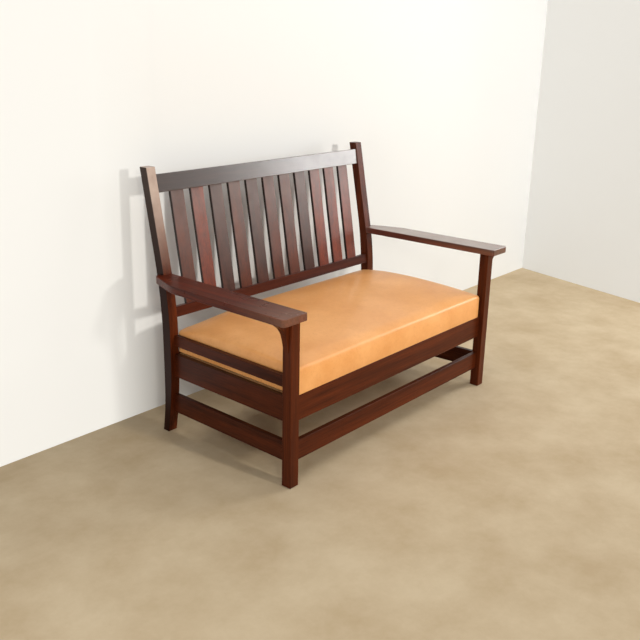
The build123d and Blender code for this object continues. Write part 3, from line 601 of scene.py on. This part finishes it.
def pad_form():
    """Closed form of the stuffed pad, ring by ring from bottom to top, and the points of its top edge."""
    points, faces = [], []
    count = 2 * (CELLS_ACROSS + CELLS_ALONG)

    def laid(ring, height):
        """Adds a ring of points and gives their numbers."""
        first = len(points)
        points.extend((p.x, p.y, height(p)) for p in ring)
        return list(range(first, first + count))

    def capped(ring_numbers, ring, height, upwards):
        """Fills a ring with a grid whose edge is that ring."""
        rows = patch(ring)
        numbers = []
        for j, row in enumerate(rows):
            line = []
            for i, p in enumerate(row):
                if j == 0:
                    line.append(ring_numbers[i])
                elif i == CELLS_ACROSS:
                    line.append(ring_numbers[CELLS_ACROSS + j])
                elif j == CELLS_ALONG:
                    line.append(ring_numbers[2 * CELLS_ACROSS + CELLS_ALONG - i])
                elif i == 0:
                    line.append(ring_numbers[count - j])
                else:
                    points.append((p.x, p.y, height(p)))
                    line.append(len(points) - 1)
            numbers.append(line)
        for j in range(CELLS_ALONG):
            for i in range(CELLS_ACROSS):
                face = (numbers[j][i], numbers[j][i + 1], numbers[j + 1][i + 1], numbers[j + 1][i])
                faces.append(face if upwards else face[::-1])

    rings = []
    for step in range(HEM_STEPS + 1):
        angle = math.pi / 2 * step / HEM_STEPS
        inset = HEM_RADIUS * (1 - math.sin(angle)) + SWELL
        rise = HEM_RADIUS * (1 - math.cos(angle))
        rings.append(laid(pad_ring(inset), lambda p: BASE + rise))
    for step in range(1, SIDE_STEPS):
        share = step / SIDE_STEPS
        low = BASE + HEM_RADIUS
        rings.append(laid(pad_ring(SWELL), lambda p: low + (pad_top(p.x, p.y) - EDGE_RADIUS - low) * share))
    for step in range(EDGE_STEPS + 1):
        angle = math.pi / 2 * step / EDGE_STEPS
        inset = EDGE_RADIUS * (1 - math.cos(angle)) + SWELL
        drop = EDGE_RADIUS * (1 - math.sin(angle))
        rings.append(laid(pad_ring(inset), lambda p: pad_top(p.x, p.y) - drop))
    for lower, upper in zip(rings, rings[1:]):
        for i in range(count):
            j = (i + 1) % count
            faces.append((lower[i], lower[j], upper[j], upper[i]))
    capped(rings[0], pad_ring(HEM_RADIUS + SWELL), lambda p: BASE, False)
    capped(rings[-1], pad_ring(EDGE_RADIUS + SWELL), lambda p: pad_top(p.x, p.y), True)
    mesh = bpy.data.meshes.new("pad_form")
    mesh.from_pydata(points, [], faces)
    mesh.update()
    return mesh, set(rings[-3] + rings[-2])


def near_corner(place):
    """True close to the upright edges, where the cover is sewn over a firm corner."""
    across = half_width(place.y) - abs(place.x)
    along = min(place.y - FRONT, REAR - place.y)
    return math.hypot(across, along) < FIRM_CORNER


def press_out(piece, edge, limit):
    """Lets the filling press the cover out, as cloth under pressure. The firm top edge gives less."""
    rest = [v.co.copy() for v in piece.data.vertices]
    held = piece.vertex_groups.new(name="held")
    held.add([v.index for v in piece.data.vertices if v.co.z < BASE + FOOT_HOLD], 1.0, "REPLACE")
    held.add(sorted(edge), TOP_EDGE_HOLD, "REPLACE")
    held.add([v.index for v in piece.data.vertices if near_corner(v.co)], CORNER_HOLD, "REPLACE")
    cloth = piece.modifiers.new("cover", "CLOTH")
    cloth.settings.quality = 6
    cloth.settings.mass = 0.4
    cloth.settings.tension_stiffness = 25
    cloth.settings.compression_stiffness = 25
    cloth.settings.shear_stiffness = 10
    cloth.settings.bending_stiffness = 8
    cloth.settings.use_pressure = True
    cloth.settings.uniform_pressure_force = 4.0
    cloth.settings.vertex_group_mass = held.name
    cloth.settings.effector_weights.gravity = 0
    cloth.point_cache.frame_start = 1
    cloth.point_cache.frame_end = PRESS_FRAMES
    for step in range(1, PRESS_FRAMES + 1):
        bpy.context.scene.frame_set(step)
    pressed = evaluated(piece)
    piece.modifiers.remove(cloth)
    for vertex, start, swollen in zip(piece.data.vertices, rest, pressed.vertices):
        shift = swollen.co - start
        if shift.length > limit:
            shift *= limit / shift.length
        vertex.co = start + shift
    bpy.data.meshes.remove(pressed)
    bpy.context.scene.frame_set(1)


def keep_clear(mesh):
    """Holds the cover between the posts and on top of the deck."""
    for vertex in mesh.vertices:
        edge = half_width(vertex.co.y) + SIDE_GIVE
        vertex.co.x = min(max(vertex.co.x, -edge), edge)
        vertex.co.y = min(max(vertex.co.y, FRONT - FRONT_GIVE), REAR + REAR_GIVE)
        vertex.co.z = max(vertex.co.z, BASE)


def leather_cushion():
    """The stuffed leather pad."""
    form, edge = pad_form()
    pad = mesh_piece("leather_cushion", form, tan_cowhide())
    press_out(pad, edge, PRESS_LIMIT)
    keep_clear(pad.data)
    divide = pad.modifiers.new("divide", "SUBSURF")
    divide.levels = divide.render_levels = 1
    pad.data = evaluated(pad)
    pad.modifiers.clear()
    for polygon in pad.data.polygons:
        polygon.use_smooth = True
    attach(pad, "root")
    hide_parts("seat_cushion")


leather_cushion()


# Floor, walls and light

def pale_concrete():
    """Sealed concrete floor: pale, warm and faintly clouded."""
    material, tree, output = new_material("pale_concrete")
    place = add(tree, "ShaderNodeTexCoord").outputs["Object"]
    cloud = add(tree, "ShaderNodeTexNoise", {
        "Vector": place, "Scale": 3.2, "Detail": 8.0, "Roughness": 0.66,
    }).outputs["Fac"]
    tint = mixed(tree, ranged(tree, cloud, 0.35, 0.65), colour("#b8a383"), colour("#cbb99b"))
    surface = add(tree, "ShaderNodeBsdfPrincipled", {
        "Base Color": tint, "Roughness": 0.75, "Specular IOR Level": 0.2,
    })
    tree.links.new(surface.outputs[0], output.inputs[0])
    return material


FADE = (-0.72, -0.46)       # across the wall, from one share of its glow, a painted light, to the other


def white_paint(name, behind_settle, left_of_settle):
    """White painted wall which also glows, as painted light, to the camera and in reflections: one share of
    glow behind the settle and one to the left of it, so that the settle's shadows on the open wall stay
    faint. It is clear from behind and lets light through, so that the settle's back can be seen and lit."""
    material, tree, output = new_material(name)
    place = add(tree, "ShaderNodeTexCoord").outputs["Object"]
    across = add(tree, "ShaderNodeSeparateXYZ", {"Vector": place}).outputs["X"]
    behind = add(tree, "ShaderNodeNewGeometry").outputs["Backfacing"]
    path = add(tree, "ShaderNodeLightPath").outputs
    clear_share = add(tree, "ShaderNodeMath", {
        0: behind, 1: path["Is Shadow Ray"],
    }, operation="MAXIMUM").outputs[0]
    seen = add(tree, "ShaderNodeMath", {
        0: path["Is Camera Ray"], 1: path["Is Glossy Ray"],
    }, operation="MAXIMUM").outputs[0]
    # Share of painted glow across the wall
    own = ranged(tree, across, *FADE, left_of_settle, behind_settle)
    painted_glow = add(tree, "ShaderNodeMath", {0: seen, 1: own}, operation="MULTIPLY").outputs[0]
    # The paint is darker where it glows, so that glow and lit paint together stay white
    white = mixed(tree, own, colour("#dddedd"), colour("#2a2a2a"))
    paint = add(tree, "ShaderNodeBsdfPrincipled", {
        "Base Color": white, "Roughness": 0.8,
        "Emission Color": colour("#f9f5ec"), "Emission Strength": painted_glow,
    }).outputs[0]
    clear = add(tree, "ShaderNodeBsdfTransparent").outputs[0]
    both = add(tree, "ShaderNodeMixShader", {0: clear_share, 1: paint, 2: clear}).outputs[0]
    tree.links.new(both, output.inputs[0])
    return material


def stage_plane(name, corners, material):
    """A flat piece of the stage."""
    mesh = bpy.data.meshes.new(name)
    mesh.from_pydata(corners, [], [(0, 1, 2, 3)])
    mesh_piece(name, mesh, material)


FLOOR_REACH = 9
SUNK = -0.0003              # the floor lies this far below the feet
WALL_START_X = -6
WALL_Y = 0.495
WALL_HEIGHT = 4.0
CORNER_X = 2.66             # where the back wall meets the side wall
SIDE_WALL_END = (2.36, -0.55)
stage_plane("floor", [
    (-FLOOR_REACH, -FLOOR_REACH, SUNK),
    (FLOOR_REACH, -FLOOR_REACH, SUNK),
    (FLOOR_REACH, FLOOR_REACH, SUNK),
    (-FLOOR_REACH, FLOOR_REACH, SUNK),
], pale_concrete())
# The back wall glows little behind the settle and much to its left: painted light that keeps the settle's
# shadows there faint
stage_plane("wall", [
    (WALL_START_X, WALL_Y, 0),
    (CORNER_X, WALL_Y, 0),
    (CORNER_X, WALL_Y, WALL_HEIGHT),
    (WALL_START_X, WALL_Y, WALL_HEIGHT),
], white_paint("white_back_wall", behind_settle=0.03, left_of_settle=0.74))
stage_plane("side_wall", [
    (CORNER_X, WALL_Y, 0),
    (*SIDE_WALL_END, 0),
    (*SIDE_WALL_END, WALL_HEIGHT),
    (CORNER_X, WALL_Y, WALL_HEIGHT),
], white_paint("white_side_wall", behind_settle=0.45, left_of_settle=0.45))


def soft_box(name, place, target, width, height, power, tint="#ffffff", mirrored=True):
    """A rectangular lamp. One that isn't mirrored leaves no glare on varnish or floor."""
    data = bpy.data.lights.new(name, "AREA")
    data.shape = "RECTANGLE"
    data.size = width
    data.size_y = height
    data.energy = power
    data.color = colour(tint)[:3]
    lamp = bpy.data.objects.new(name, data)
    lamp.location = place
    lamp.visible_camera = False
    lamp.visible_glossy = mirrored
    lamp.rotation_euler = (Vector(target) - Vector(place)).to_track_quat("-Z", "Y").to_euler()
    bpy.context.scene.collection.objects.link(lamp)


soft_box("front", (0.1, -9.0, 2.85), (0.1, 0.4, 0.8), 0.6, 0.6, 450, "#fffaf2", mirrored=False)
soft_box("left_front", (-2.7, -3.2, 1.95), (0.3, 0.3, 0.7), 0.25, 0.25, 26, "#fffaf0")
soft_box("left", (-3.6, -0.9, 0.9), (-0.5, 0, 0.45), 1.6, 1.4, 40)
soft_box("window", (3.5, -1.85, 1.4), (0, 0.1, 0.8), 1.7, 1.2, 56)
soft_box("skylight", (2.0, -1.4, 2.45), (0, -0.3, 0.45), 0.9, 0.9, 13)
soft_box("overhead", (-0.3, -0.8, 3.6), (0, 0, 0.4), 3.0, 2.0, 44)

world = bpy.data.worlds.new("room")
world.use_nodes = True
bpy.context.scene.world = world
background = world.node_tree.nodes["Background"]
background.inputs["Color"].default_value = colour("#fbf7ee")
# The room is brighter to the camera and in reflections than in the light that it gives
ROOM_LIGHT = 0.03
ROOM_SEEN = 0.5
path = add(world.node_tree, "ShaderNodeLightPath").outputs
seen = path["Is Camera Ray"]
for ray in ("Is Glossy Ray", "Is Transmission Ray"):
    seen = add(world.node_tree, "ShaderNodeMath", {0: seen, 1: path[ray]}, operation="MAXIMUM").outputs[0]
strength = ranged(world.node_tree, seen, 0.0, 1.0, ROOM_LIGHT, ROOM_SEEN)
world.node_tree.links.new(strength, background.inputs["Strength"])
